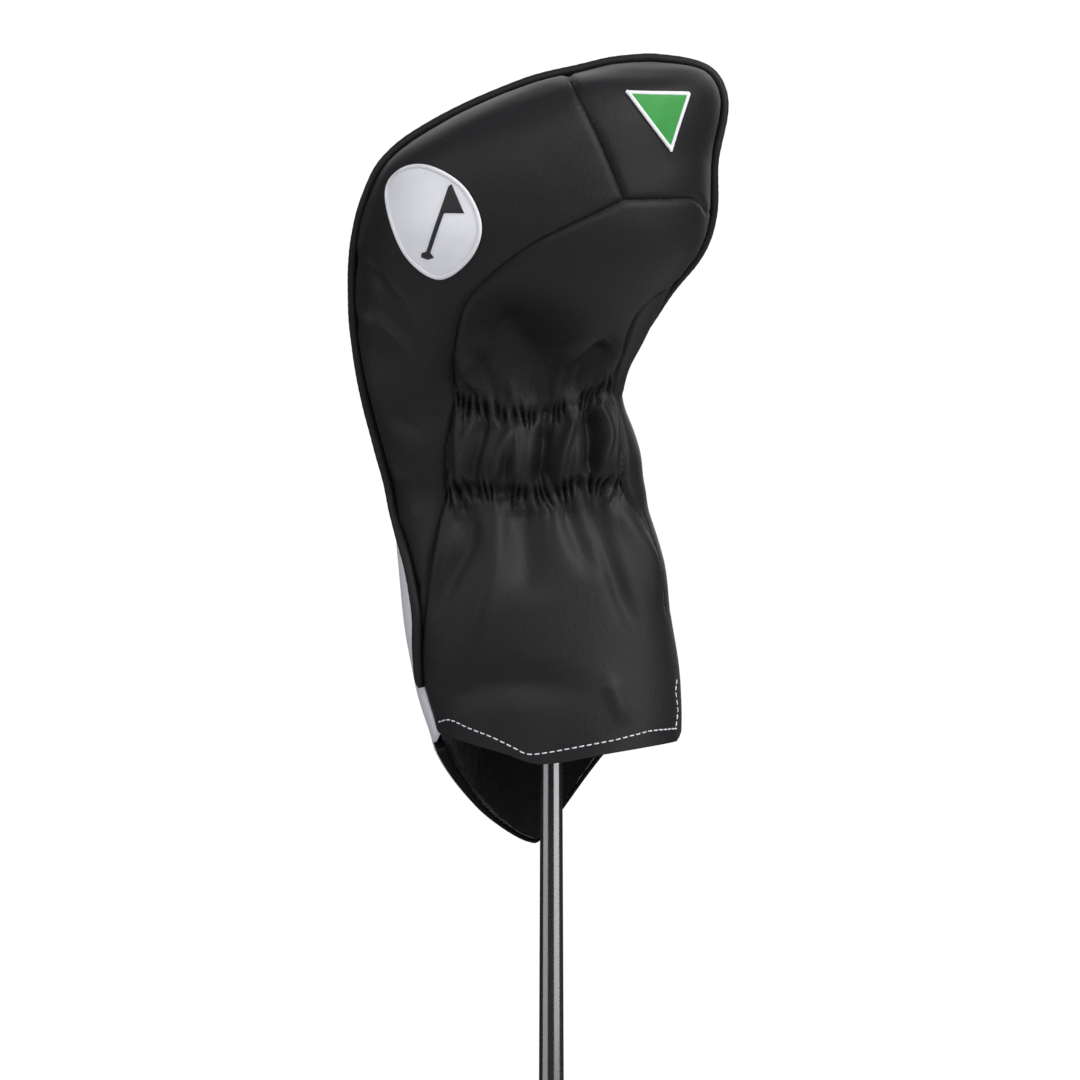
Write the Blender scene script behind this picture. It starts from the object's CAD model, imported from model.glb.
# %% [markdown]
# # A fairway wood in its head cover
# The club stands head up, with a padded two-tone cover pulled over the head. This lesson builds the looks
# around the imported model: the cover's leatherette panels with their seams, gathers and hem, the welt round
# its outline, the embroidery, the fleece inside, and then the club itself.
# Everything is in metres in the frame's own axes. The cover's pattern is drawn in millimetres, as
# a cutter would draw it, and heights on it count from the level of the club's sole.

# %% Load the frame
import math

import bmesh
import bpy
import numpy as np
from mathutils import Matrix, Vector, geometry, kdtree, noise


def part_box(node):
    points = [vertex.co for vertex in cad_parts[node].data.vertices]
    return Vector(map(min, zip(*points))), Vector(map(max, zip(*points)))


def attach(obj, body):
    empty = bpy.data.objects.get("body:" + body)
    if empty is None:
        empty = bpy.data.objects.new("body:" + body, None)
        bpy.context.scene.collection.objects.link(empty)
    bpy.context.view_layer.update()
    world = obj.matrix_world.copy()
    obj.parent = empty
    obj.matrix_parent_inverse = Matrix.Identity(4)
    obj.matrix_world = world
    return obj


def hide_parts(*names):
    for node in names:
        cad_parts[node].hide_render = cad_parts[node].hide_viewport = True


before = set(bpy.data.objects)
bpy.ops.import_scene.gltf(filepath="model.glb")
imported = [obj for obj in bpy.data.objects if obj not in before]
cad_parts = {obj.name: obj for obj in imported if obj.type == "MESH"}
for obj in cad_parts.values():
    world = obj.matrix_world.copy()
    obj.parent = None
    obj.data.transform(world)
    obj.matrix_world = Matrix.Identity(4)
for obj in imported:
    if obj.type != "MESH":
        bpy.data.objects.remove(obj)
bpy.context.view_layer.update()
MM = 0.001
APEX_HEIGHT = 49.0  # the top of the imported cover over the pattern's level, in mm
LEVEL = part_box("back_band")[1].z / MM - APEX_HEIGHT
print("nodes", len(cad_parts), "pattern level", round(LEVEL, 1), "mm above the grip's cap")

# %% [markdown]
# ## Camera
# A catalogue picture of a tall thin thing is taken from far away with a long lens, level with its middle, so
# that nothing leans. Six metres and a narrow field do the same here.

# %% Camera
SEEN_HEIGHT = 0.4428  # metres of the object that the picture spans
CAMERA_AWAY = 6.0
COVER_NEARER = 0.05  # the cover's outline stands this far in front of the shaft's axis
SENSOR = 0.036
aim = Vector((-0.0047, 0.0, (LEVEL - 146.0) * MM))
camera_data = bpy.data.cameras.new("camera")
camera_data.sensor_width = SENSOR / MM
camera_data.lens = SENSOR / MM * (CAMERA_AWAY - COVER_NEARER) / SEEN_HEIGHT
camera_data.clip_end = 60.0
camera = bpy.data.objects.new("camera", camera_data)
camera.location = aim + Vector((0.0, -CAMERA_AWAY, 0.0))
camera.rotation_euler = (math.pi / 2, 0.0, 0.0)
bpy.context.scene.collection.objects.link(camera)
bpy.context.scene.camera = camera
print("lens", round(camera_data.lens), "mm, aimed at", [round(c, 4) for c in aim])

# %% [markdown]
# ## Helpers for materials
# A finish is one Principled shader with a few texture nodes in front of it. The helper below makes the
# shader with its plain values set on its own sockets, and hands back the node tree for the rest.


# %% Material helpers
def wave_scale(pitch):
    """The scale at which a wave texture repeats every pitch metres."""
    return math.pi / (10 * pitch)


class Finish:
    """One material, with short ways to add its texture nodes."""

    def __init__(self, name, color, roughness, **plain):
        self.material = bpy.data.materials.new(name)
        self.material.use_nodes = True
        self.material.diffuse_color = (*color, 1.0)
        self.tree = self.material.node_tree
        self.shader = self.tree.nodes["Principled BSDF"]
        self.shader.inputs["Base Color"].default_value = (*color, 1.0)
        self.shader.inputs["Roughness"].default_value = roughness
        for socket, value in plain.items():
            self.shader.inputs[socket.replace("_", " ")].default_value = value

    def node(self, kind, **settings):
        made = self.tree.nodes.new(kind)
        for key, value in settings.items():
            if key[0].isupper():
                made.inputs[key.replace("_", " ")].default_value = value
            else:
                setattr(made, key, value)
        return made

    def link(self, start, end):
        self.tree.links.new(start, end)

    def place(self, scale=(1, 1, 1), turn=(0, 0, 0), uv=False):
        """Coordinates of the surface, stretched and turned."""
        source = self.node("ShaderNodeTexCoord")
        mapping = self.node("ShaderNodeMapping", Scale=scale, Rotation=turn)
        self.link(source.outputs["UV" if uv else "Object"], mapping.inputs["Vector"])
        return mapping.outputs["Vector"]

    def noise(self, where, scale, detail=3.0, rough=0.5):
        made = self.node("ShaderNodeTexNoise", Scale=scale, Detail=detail, Roughness=rough)
        self.link(where, made.inputs["Vector"])
        return made.outputs["Fac"]

    def cells(self, where, scale, feature="F1"):
        made = self.node("ShaderNodeTexVoronoi", feature=feature, Scale=scale)
        self.link(where, made.inputs["Vector"])
        return made.outputs["Distance"]

    def wave(self, where, scale, direction="X", distortion=0.0):
        made = self.node("ShaderNodeTexWave", bands_direction=direction, Scale=scale, Distortion=distortion)
        self.link(where, made.inputs["Vector"])
        return made.outputs["Fac"]

    def math(self, operation, a, b=0.0):
        made = self.node("ShaderNodeMath", operation=operation)
        for socket, value in zip(made.inputs, (a, b)):
            if isinstance(value, (int, float)):
                socket.default_value = value
            else:
                self.link(value, socket)
        return made.outputs["Value"]

    def spread(self, value, low, high, to_low, to_high):
        made = self.node("ShaderNodeMapRange")
        self.link(value, made.inputs["Value"])
        limits = {"From Min": low, "From Max": high, "To Min": to_low, "To Max": to_high}
        for socket, number in limits.items():
            made.inputs[socket].default_value = number
        return made.outputs["Result"]

    def tint(self, factor, dark, light):
        """The base colour runs from dark to light with a factor."""
        made = self.node("ShaderNodeMix", data_type="RGBA")
        self.link(factor, made.inputs["Factor"])
        colours = [s for s in made.inputs if s.type == "RGBA"]
        colours[0].default_value = (*dark, 1.0)
        colours[1].default_value = (*light, 1.0)
        mixed = [s for s in made.outputs if s.type == "RGBA"][0]
        self.link(mixed, self.shader.inputs["Base Color"])

    def rough(self, factor, low, high):
        self.link(self.spread(factor, 0.0, 1.0, low, high), self.shader.inputs["Roughness"])

    def bump(self, height, strength, distance, under=None):
        made = self.node("ShaderNodeBump", Strength=strength, Distance=distance)
        self.link(height, made.inputs["Height"])
        if under is not None:
            self.link(under, made.inputs["Normal"])
        self.link(made.outputs["Normal"], self.shader.inputs["Normal"])
        return made.outputs["Normal"]


# %% [markdown]
# ## Leatherette
# The cover is polyurethane leatherette: a smooth skin embossed with a fine, slightly drawn-out pebble, on
# a soft backing. The pebble is a cell pattern about a millimetre across, with finer pores on top, and its
# gloss varies a little where hands have rubbed it.


# %% Leatherette finishes
def leatherette(name, color, pale, roughness, specular):
    skin = Finish(name, color, roughness, Specular_IOR_Level=specular)
    where = skin.place(scale=(1.0, 1.0, 0.55))
    pebble = skin.cells(where, 900.0, "SMOOTH_F1")
    pores = skin.noise(where, 2600.0, detail=2.0)
    wear = skin.noise(skin.place(), 28.0, detail=4.0, rough=0.6)
    skin.rough(wear, roughness - 0.07, roughness + 0.08)
    skin.tint(skin.math("MULTIPLY", wear, pebble), color, pale)
    under = skin.bump(pores, 0.18, 0.00012)
    skin.bump(pebble, 0.42, 0.00022, under)
    return skin.material


BLACK_SKIN = leatherette(
    "black_leatherette", (0.0088, 0.0088, 0.0096), (0.0158, 0.0158, 0.0171), 0.53, 0.25
)
PALE_SKIN = leatherette("pale_leatherette", (0.70, 0.70, 0.74), (0.80, 0.80, 0.83), 0.45, 0.45)
print("leatherette finishes made")

# %% [markdown]
# ## Fleece, elastic and threads
# The fleece is a short brushed pile: no gloss, a soft sheen at grazing angles, and a mottled surface.
# The hem's thread is round and slightly silky, with the fine wave of its twisted strands.


# %% Soft finishes
def fleece(name):
    pile = Finish(
        name, (0.006, 0.006, 0.0065), 0.95, Specular_IOR_Level=0.1, Sheen_Weight=0.25, Sheen_Roughness=0.4
    )
    where = pile.place()
    tufts = pile.noise(where, 1500.0, detail=5.0, rough=0.7)
    nap = pile.noise(where, 120.0, detail=3.0)
    pile.tint(nap, (0.004, 0.004, 0.0045), (0.010, 0.010, 0.011))
    pile.bump(pile.math("ADD", tufts, nap), 0.7, 0.0006)
    return pile.material


def thread(name, dark, light, pitch):
    """Twisted strands, pitch metres apart, with loose fibres among them."""
    yarn = Finish(name, light, 0.5, Specular_IOR_Level=0.35, Sheen_Weight=0.2, Sheen_Roughness=0.35)
    where = yarn.place()
    lay = yarn.wave(where, wave_scale(pitch), "X", 0.6)
    fray = yarn.noise(where, 1400.0, detail=3.0)
    yarn.tint(yarn.math("MULTIPLY", lay, yarn.spread(fray, 0.2, 0.8, 0.6, 1.1)), dark, light)
    yarn.bump(lay, 0.6, 0.00025)
    return yarn.material


FLEECE = fleece("black_fleece")
HEM_YARN = thread("hem_yarn", (0.62, 0.62, 0.68), (0.86, 0.86, 0.9), 0.0005)
print("soft finishes made")

# %% [markdown]
# ## The cover's pattern
# The cover is one tube that closes over the head. It is drawn as rings, from below the tongue up to the
# apex: each ring has a left and a right end as it is seen from the front, a depth, and how far it stands in
# front and behind. A smooth curve through the rings gives the whole surface, in millimetres.

# %% The rings
RINGS = np.array(
    [
        # left x, height; right x, height; depth, front, back
        [-44, -274, 47.5, -274, 0, 43, 43],
        [-48.2, -236, 52.8, -236, 0, 45, 45],
        [-55.6, -207, 53.6, -207, 0, 45, 45],
        [-61.6, -180, 49.8, -180.5, -1, 43, 44],
        [-63.8, -154, 46.4, -154, -2, 39, 42],
        [-65, -129.4, 39.2, -129.4, -4, 32, 38],
        [-69.2, -111, 37, -111, -7, 34, 37],
        [-75.4, -87, 30.2, -85, -12, 30, 38],
        [-79, -66, 38, -64, -22, 43, 42],
        [-80.4, -45.4, 49, -43, -33, 61, 52],
        [-79.4, -25, 60.6, -27.4, -43, 66, 63],
        [-75, -6.8, 65, -12.4, -48, 65, 68],
        [-65.6, 10.4, 65.2, 9, -50, 63, 68],
        [-43.4, 25.6, 69, 28, -50, 59, 61],
        [-11.4, 39.8, 68.6, 37.6, -50, 51, 48],
        [13, 46, 64, 45, -50, 34, 32],
        [26, 49, 55, 48.4, -50, 17, 16],
        [40.5, 50.2, 40.5, 50.2, -50, 0, 0],
    ]
)
SQUARENESS = 2.4  # 2 would make every ring an ellipse
PATTERN_FOOT = RINGS[0, 1]
PATTERN_TALL = 323.0
CLOSING = np.array([0.2] * 5 + [1.6] * 2)  # how steeply each quantity runs into the apex


def ring(t):
    """The seven quantities of the rings at t, from 0 at the lowest to 1 at the apex."""
    last = len(RINGS) - 1
    s = np.clip(t, 0, 1) * last
    i = np.minimum(np.floor(s).astype(int), last - 1)
    f = (s - i)[..., None]
    a, b, c = RINGS[np.maximum(i - 1, 0)], RINGS[i], RINGS[i + 1]
    d = RINGS[np.minimum(i + 2, last)]
    leave = (c - a) / 2
    arrive = (d - b) / 2
    end = (i + 2 > last)[..., None]
    arrive = np.where(end, (c - b) * CLOSING, arrive)
    return (
        (2 * f**3 - 3 * f**2 + 1) * b + (f**3 - 2 * f**2 + f) * leave
        + (-2 * f**3 + 3 * f**2) * c + (f**3 - f**2) * arrive
    )


def signed_power(v, p):
    return np.sign(v) * np.abs(v) ** p


def bell(distance, width):
    """A smooth hump of height one, which has all but gone at twice its width."""
    return np.exp(-((distance / width) ** 2))


def surface(angle, t):
    """Points of the cover: angle 0 is the right end of a ring, a quarter turn its front."""
    xl, hl, xr, hr, y, front, back = np.moveaxis(ring(t), -1, 0)
    c = signed_power(np.cos(angle), 2 / SQUARENESS)
    s = signed_power(np.sin(angle), 2 / SQUARENESS)
    reach = np.where(s > 0, front, back)
    x = (xl + xr) / 2 + (xr - xl) / 2 * c
    height = (hl + hr) / 2 + (hr - hl) / 2 * c
    return np.stack([x, y - reach * s, height], -1)


def surface_normal(angle, t):
    e = 0.006
    up = surface(angle, np.minimum(t + e, 0.997)) - surface(angle, np.maximum(t - e, 0))
    around = surface(angle + 0.03, t) - surface(angle - 0.03, t)
    n = np.cross(up, around)
    return n / np.maximum(np.linalg.norm(n, axis=-1, keepdims=True), 1e-9)


def under_view(points, behind=False):
    """The (angle, t) of places given as (x, height) from the front."""
    p = np.asarray(points, float)
    x, h = p[..., 0], p[..., 1]
    low, high = np.zeros_like(x), np.full_like(x, 0.9999)
    for _ in range(40):
        t = (low + high) / 2
        xl, hl, xr, hr = np.moveaxis(ring(t)[..., :4], -1, 0)
        c = np.clip((x - (xl + xr) / 2) / np.maximum((xr - xl) / 2, 1e-6), -1, 1)
        above = (hl + hr) / 2 + (hr - hl) / 2 * c > h
        high = np.where(above, t, high)
        low = np.where(above, low, t)
    angle = np.arccos(np.clip(signed_power(c, SQUARENESS / 2), -1, 1))
    return np.stack([2 * math.pi - angle if behind else angle, t], -1)


apex = surface(np.array(0.0), np.array(1.0))
print("cover stands", round(float(apex[2] - PATTERN_FOOT)), "mm tall on its pattern")

# %% [markdown]
# ## Seam lines
# Each seam is a smooth line through a few points, as (x, height) from the front. The join is the line where
# front and back meet under the welt, given by its depth at each height. The two rows are the lines
# along which elastic is stitched behind the front.

# %% Seam lines
ARC_SEAM = [
    (-54.4, -206), (-54.2, -190), (-52.6, -170), (-48, -146), (-44, -127), (-43.5, -108), (-40, -89),
    (-40.5, -77), (-38, -58), (-30, -44), (-8, -27), (30, -8),
]
TOE_SEAM = [(30, -8), (48, -7.4), (59, -6.8), (63.5, -11.0)]
SLANT_SEAM = [(30, -8), (22.5, 10), (14.5, 27.5), (8, 41.5)]
RIGHT_SEAM = [
    (58.5, -31.5), (50.5, -40.5), (42, -46.5), (36.2, -52.5), (33, -59), (30.5, -67), (27.5, -76),
    (26.5, -84), (28.5, -96), (30.5, -110), (30.5, -125.4), (38, -137), (44, -155), (47, -174),
]
FRONT_HEM = [
    (51.6, -229), (46, -230), (21, -234.2), (4, -237.3), (-7, -237.8), (-19.5, -233.6), (-38, -228.3),
    (-46, -225.6), (-47.8, -222.8),
]
TONGUE_HEM = [
    (-50, -230), (-45.6, -239), (-39, -248.3), (-29.2, -258.5), (-18, -266.8), (-9.4, -271), (-4.6, -269.8),
    (5, -256.6), (21, -235.5), (38, -217), (49, -203),
]
BACK_SEAM = -44.0
LEFT_JOIN = [
    (-290, -19), (-224, -19), (-206, -19), (-195, -22.5), (-180, -26.5), (-168, -26), (-154, -22.7),
    (-146, -19), (-138, -14.5), (-130, -10), (-118, -10), (-87, -12), (-45, -33), (-7, -48), (26, -50),
    (90, -50),
]
RIGHT_JOIN = [
    (-290, 20), (-207, 20), (-129, 16), (-87, 10), (-64, -2), (-43, -16), (-12, -39), (10, -49), (28, -50),
    (90, -50),
]
UPPER_ROW = np.array(
    [(-46, -87), (-34, -90.5), (-20, -94), (-9, -95.5), (2, -93.5), (12, -90), (21, -85), (32, -82)]
)
LOWER_ROW = np.array([(-50, -126.5), (-30, -125.5), (-14, -127.5), (0, -128), (10, -123), (32, -123.5)])


def smooth_line(points, step=1.2):
    """Points about a step apart along a smooth line through the given ones."""
    p = np.asarray(points, float)
    p = np.vstack([2 * p[0] - p[1], p, 2 * p[-1] - p[-2]])
    out = []
    for a, b, c, d in zip(p, p[1:], p[2:], p[3:]):
        n = max(int(np.linalg.norm(c - b) / step), 2)
        f = np.linspace(0, 1, n, endpoint=False)[:, None]
        square = (2 * a - 5 * b + 4 * c - d) * f**2
        cube = (3 * b - a - 3 * c + d) * f**3
        out.append(0.5 * (2 * b + (c - a) * f + square + cube))
    return np.vstack([*out, p[-2:-1]])


left_join = smooth_line(LEFT_JOIN)
right_join = smooth_line(RIGHT_JOIN)


def row_at(row, x):
    """The height of an elastic row at x."""
    return np.interp(x, row[:, 0], row[:, 1])


def join_angle(t, left):
    """The angle of the join at t: left or right of the cover."""
    r = ring(t)
    height = r[..., 1] if left else r[..., 3]
    table = left_join if left else right_join
    away = np.interp(height, table[:, 0], table[:, 1]) - r[..., 4]
    away = np.clip(away / np.maximum(np.where(away < 0, r[..., 5], r[..., 6]), 1e-6), -0.95, 0.95)
    lean = np.arcsin(signed_power(-away, SQUARENESS / 2))
    return math.pi - lean if left else lean


def join_at(height, left):
    """The t at which the join stands at a height."""
    t = np.linspace(0, 0.999, 3000)
    heights = surface(join_angle(t, left), t)[:, 2]
    return float(np.interp(height, heights, t))


def join_run(from_t, to_t, left, count=160, behind=False):
    """The join between two values of t. On the back pieces the right join is a full turn on."""
    t = np.linspace(from_t, to_t, count)
    turn = 2 * math.pi if behind and not left else 0
    return np.stack([join_angle(t, left) + turn, t], -1)


def join_line(from_height, to_height, left, step=0.0035):
    """The join between two heights."""
    start, end = join_at(from_height, left), join_at(to_height, left)
    return join_run(start, end, left, max(int(abs(end - start) / step), 2))


print("left join runs", round(join_at(-206, True), 3), "to", round(join_at(40, True), 3))

# %% [markdown]
# ## From outline to panel
# A panel is cut on the pattern: its outline is a closed line in (angle, t). A triangulation fills it with
# evenly spread points, the points go onto the surface, and the panel is then shaped by moving them along
# the surface's normal. That keeps each panel's edge exactly on its seam, which a grid would not.

# %% Panel builder
ANGLE_MM = 58.0  # how many mm one radian of angle is worth when points are spread
RUN_MM = 330.0  # and one unit of t
SOFT_EDGE = 50  # soft goods look smooth over edges up to this many degrees
STITCH_PITCH = 3.0  # mm between the lockstitches that pull at a seam
SEAM_DIP, SEAM_WIDTH = 1.7, 1.2  # the sharp furrow of a seam, in mm
PULL_DIP, PULL_MORE, PULL_WIDTH = 0.12, 0.3, 2.4  # the soft hollow beside it, deeper at each stitch
WELT_DIP, WELT_DIP_WIDTH = 0.5, 2.2  # how a panel sinks where it goes under the welt


def grid_inside(edge, spacing):
    """Evenly spread points inside a closed edge, clear of it."""
    low, high = edge.min(0), edge.max(0)
    columns = np.arange(low[0], high[0], spacing)
    rows = np.arange(low[1], high[1], spacing * 0.866)
    gx, gy = np.meshgrid(columns, rows)
    gx = gx + (np.arange(len(rows)) % 2)[:, None] * spacing / 2
    grid = np.stack([gx.ravel(), gy.ravel()], -1)
    inside = np.zeros(len(grid), bool)
    for a, b in zip(edge, np.roll(edge, -1, 0)):
        crosses = (a[1] > grid[:, 1]) != (b[1] > grid[:, 1])
        rise = b[1] - a[1] if b[1] != a[1] else 1e-12
        inside ^= crosses & (grid[:, 0] < (b[0] - a[0]) * (grid[:, 1] - a[1]) / rise + a[0])
    tree = kdtree.KDTree(len(edge))
    for i, p in enumerate(edge):
        tree.insert((p[0], p[1], 0), i)
    tree.balance()
    clear = np.array([k and tree.find((p[0], p[1], 0))[2] > spacing * 0.55 for p, k in zip(grid, inside)])
    return grid[clear]


def spread_points(outline, spacing, fine_where=None, fine_spacing=0.55):
    """Points and triangles that fill an outline given in (angle, t), closer together where asked."""
    scale = np.array([ANGLE_MM, RUN_MM])
    edge = outline * scale
    keep = [edge[0]]
    for p in edge[1:]:
        if np.linalg.norm(p - keep[-1]) > spacing * 0.45:
            keep.append(p)
    if np.linalg.norm(keep[0] - keep[-1]) < spacing * 0.4:
        keep.pop()
    edge = np.array(keep)
    grid = grid_inside(edge, spacing)
    if fine_where is not None:
        fine = grid_inside(edge, fine_spacing)
        grid = np.vstack([grid[~fine_where(grid / scale)], fine[fine_where(fine / scale)]])
    points = np.vstack([edge, grid])
    ring_edges = [(i, (i + 1) % len(edge)) for i in range(len(edge))]
    made = geometry.delaunay_2d_cdt([Vector(p) for p in points], ring_edges, [], 1, 1e-5)
    verts = np.array([[v.x, v.y] for v in made[0]]) / scale
    return verts, [list(f) for f in made[2]]


def to_metres(points):
    """Pattern millimetres to the frame's metres."""
    return (points + np.array([0, 0, LEVEL])) * MM


def lengths_along(line):
    """How far along a line each of its points is."""
    return np.concatenate([[0], np.cumsum(np.linalg.norm(np.diff(line, axis=0), axis=1))])


def dense_line(points, step=0.4):
    """The same line with points about a step apart, and how far along it each one is."""
    length = lengths_along(points)
    at = np.linspace(0, length[-1], max(int(length[-1] / step), 2))
    return np.stack([np.interp(at, length, points[:, k]) for k in range(points.shape[1])], -1), at


def distance_to(points, lines):
    """How far each point is from the nearest of some lines, and how far along it, all in mm."""
    if not len(lines):
        return np.full(len(points), 1e3), np.zeros(len(points))
    made = [dense_line(line) for line in lines]
    dense = np.vstack([m[0] for m in made])
    along = np.concatenate([m[1] for m in made])
    tree = kdtree.KDTree(len(dense))
    for i, p in enumerate(dense):
        tree.insert(p, i)
    tree.balance()
    found = [tree.find(p) for p in points]
    return np.array([f[2] for f in found]), along[[f[1] for f in found]]


def mesh_object(name, verts, faces, material):
    mesh = bpy.data.meshes.new(name)
    mesh.from_pydata([tuple(v) for v in verts], [], faces)
    mesh.materials.append(material)
    mesh.update()
    obj = bpy.data.objects.new(name, mesh)
    bpy.context.scene.collection.objects.link(obj)
    return obj


def only(obj):
    bpy.ops.object.select_all(action="DESELECT")
    obj.select_set(True)
    bpy.context.view_layer.objects.active = obj


def thicken(obj, thickness):
    """Gives a sheet its wall, inwards from its outer face."""
    only(obj)
    wall = obj.modifiers.new("wall", "SOLIDIFY")
    wall.thickness = thickness * MM
    wall.offset = -1.0
    bpy.ops.object.modifier_apply(modifier="wall")
    bpy.ops.object.shade_smooth_by_angle(angle=math.radians(SOFT_EDGE))


def face_outwards(obj, sharp):
    """Turns the faces of a closed piece outwards, and shades it smooth below an angle in degrees."""
    only(obj)
    bpy.ops.object.mode_set(mode="EDIT")
    bpy.ops.mesh.select_all(action="SELECT")
    bpy.ops.mesh.normals_make_consistent(inside=False)
    bpy.ops.object.mode_set(mode="OBJECT")
    bpy.ops.object.shade_smooth_by_angle(angle=math.radians(sharp))


def cover_middle(p):
    """The middle of the cover at the height of each point, in metres."""
    r = ring(np.clip((p[:, 2] / MM - LEVEL - PATTERN_FOOT) / PATTERN_TALL, 0, 1))
    return np.stack([(r[:, 0] + r[:, 2]) / 2 * MM, r[:, 4] * MM, p[:, 2] - 0.004], -1)


def away_from_middle(obj):
    """Turns the faces of an open sheet away from the cover's middle."""
    mesh = obj.data
    p = np.array([q.center for q in mesh.polygons])
    n = np.array([q.normal for q in mesh.polygons])
    if (n * (p - cover_middle(p))).sum() < 0:
        mesh.flip_normals()


def panel(
    name, outline, seams, spacing, shape, material, thickness=1.6, offset=0.0, joins=(), fine_where=None
):
    """A leatherette panel: seams are the stretches that dip into a seam, and joins those under the welt."""
    flat, faces = spread_points(outline, spacing, fine_where)
    angle, t = flat[:, 0], flat[:, 1]
    base = surface(angle, t)
    normal = surface_normal(angle, t)
    near, along = distance_to(base, [surface(s[:, 0], s[:, 1]) for s in seams])
    pull = 0.5 + 0.5 * np.cos(along * 2 * math.pi / STITCH_PITCH)
    out = offset - SEAM_DIP * bell(near, SEAM_WIDTH) - (PULL_DIP + PULL_MORE * pull) * bell(near, PULL_WIDTH)
    under_welt, _ = distance_to(base, [surface(s[:, 0], s[:, 1]) for s in joins])
    out = out - WELT_DIP * bell(under_welt, WELT_DIP_WIDTH)
    out = out + shape(base[:, 0], base[:, 2], base, angle)
    obj = mesh_object(name, to_metres(base + normal * out[:, None]), faces, material)
    away_from_middle(obj)
    thicken(obj, thickness)
    print(name, len(obj.data.polygons), "faces")
    return obj


# %% [markdown]
# ## Folds
# Soft padded cloth never lies on its pattern. Each fold is a stroke: a line on the front view with a width
# and a height, raised or sunk, fading at its ends. The elastic rows pucker the cloth by a formula: small
# crests side by side, with a pitch and a length that wander.


# %% Strokes and puckers
def stroke(x, h, points, width, height, tail=0.5):
    """A fold along a line of (x, height) points, positive outwards, that dies away over its tail."""
    line = smooth_line(points, 1.0)
    d = np.full(x.shape, 1e9)
    along = np.zeros(x.shape)
    for k, (px, ph) in enumerate(line):
        e = (x - px) ** 2 + (h - ph) ** 2
        nearer = e < d
        d = np.where(nearer, e, d)
        along = np.where(nearer, k / (len(line) - 1), along)
    rise = 0.3 + 0.7 * np.clip(along * 6, 0, 1)
    fall = np.clip((1 - along) / tail, 0, 1)
    return height * np.exp(-d / width**2) * rise * fall * fall * (3 - 2 * fall)


def folded(out, x, h, folds):
    """Adds a list of folds, each a line, a width and a height."""
    for points, width, height in folds:
        out = out + stroke(x, h, points, width, height)
    return out


def wander(x, scale, seed):
    """Smooth values from about -1 to 1 along x."""
    values = [noise.noise(Vector((v / scale, seed * 7.31, seed * 1.7))) for v in x.ravel()]
    return np.array(values).reshape(x.shape) * 1.8


def puckers(x, h, row, pitch, reach, height, seed):
    """Small folds that cross an elastic row, about pitch mm apart and reach mm long on each side."""
    middle = row_at(row, x) + 1.1 * wander(x, 5.0, seed + 6)
    away = h - middle
    sway = 0.4 * away * wander(x, 7.0, seed + 3)
    phase = (x + sway) / pitch + 0.8 * wander(x + sway, 2.2 * pitch, seed)
    cell = np.floor(phase)
    tall = 0.72 + 0.5 * wander(cell * 3.7, 1.9, seed + 5)
    side = np.where(away > 0, 0.0, 40.0)
    length = reach * (0.7 + 0.6 * np.abs(wander(cell * 2.3 + side, 1.7, seed + 9)))
    crest = np.abs(np.sin(math.pi * phase)) ** 0.8
    return height * (tall * crest * bell(away, length) - 0.55 * bell(away, 0.7 * reach))


BETWEEN_FOLDS = [
    # the folds that stand between the two rows, from left to right
    ([(-42, -88), (-42.5, -106), (-43, -130)], 1.8, -1.4),
    ([(-38, -88), (-39, -106), (-37.5, -130)], 1.5, 1.4),
    ([(-29, -86), (-34, -101), (-37.5, -114), (-35, -131)], 2.3, 3.0),
    ([(-26, -88), (-28.5, -104), (-31.5, -116), (-30, -131)], 2.4, -2.6),
    ([(-17, -88), (-17.5, -101), (-22, -112), (-27, -130)], 2.3, 3.0),
    ([(-13.5, -90), (-14.5, -105), (-14.5, -118), (-14, -131)], 1.6, 1.9),
    ([(-19, -110), (-19.5, -118), (-19, -130)], 1.8, -2.0),
    ([(-3, -90), (-2.5, -104), (-4, -118), (-5, -131)], 4.0, -6.6),
    ([(3, -86), (7.2, -98), (4.6, -111), (1, -131)], 2.0, 4.2),
    ([(9.5, -88), (9.8, -106), (10, -128)], 2.2, 1.0),
    ([(13, -84), (17, -103), (15, -130)], 3.3, -6.6),
    ([(15, -82), (22, -100), (21, -112), (16.5, -130)], 2.1, 3.8),
    ([(25.6, -82), (26, -102), (24, -128)], 1.5, 1.6),
    ([(28.6, -82), (29.2, -102), (27.4, -128)], 1.5, -1.4),
    ([(31.5, -80), (32.2, -102), (30, -128)], 1.7, 1.8),
]


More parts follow.
